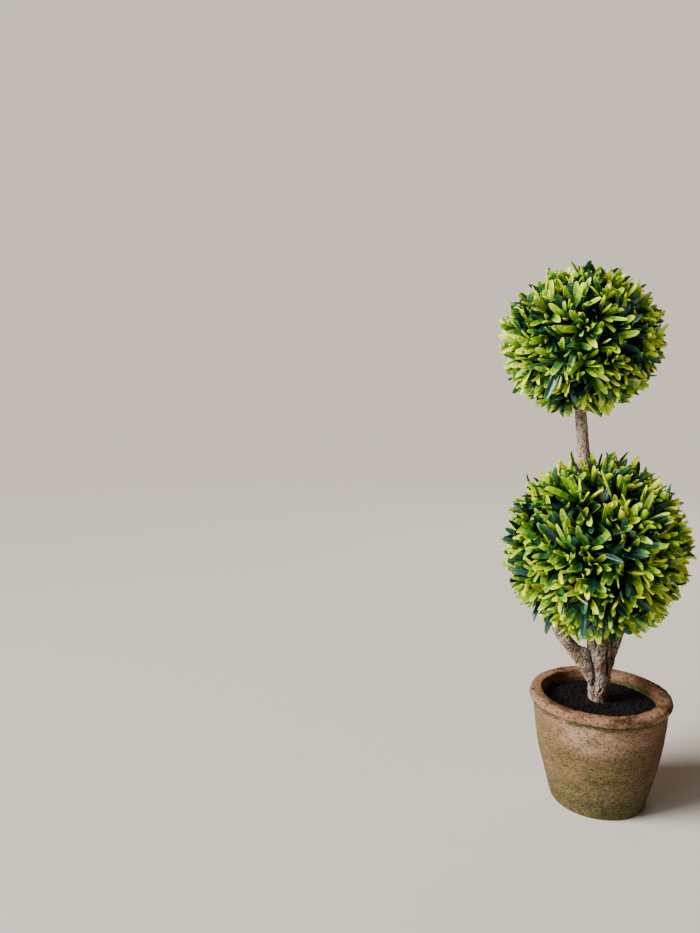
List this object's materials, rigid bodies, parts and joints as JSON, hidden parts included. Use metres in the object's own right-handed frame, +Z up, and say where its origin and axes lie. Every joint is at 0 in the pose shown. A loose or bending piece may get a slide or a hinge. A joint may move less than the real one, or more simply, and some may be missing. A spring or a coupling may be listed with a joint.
{
  "type": "artificial box topiary ball tree in a clay pot",
  "caption": "Artificial topiary of a large and a small clipped ball of glossy plastic leaves on a branched bark-covered stem, standing in a round aged clay pot.",
  "frame": {"origin": "centre of the flat underside of the pot", "axes": "+Z up along the pot's axis, +Y away from the front view, +X to the right of it"},
  "size_m": [0.1562, 0.1498, 0.4471],
  "materials": {
    "aged_clay": "matte",
    "dark_soil": "matte",
    "bark": "matte",
    "foliage": "satin"
  },
  "bodies": {
    "root": {"pot": "aged_clay", "soil": "dark_soil", "trunk": "bark", "bough_left": "bark", "bough_right": "bark", "lower_ball": "foliage", "upper_ball": "foliage"}
  },
  "joints": []
}
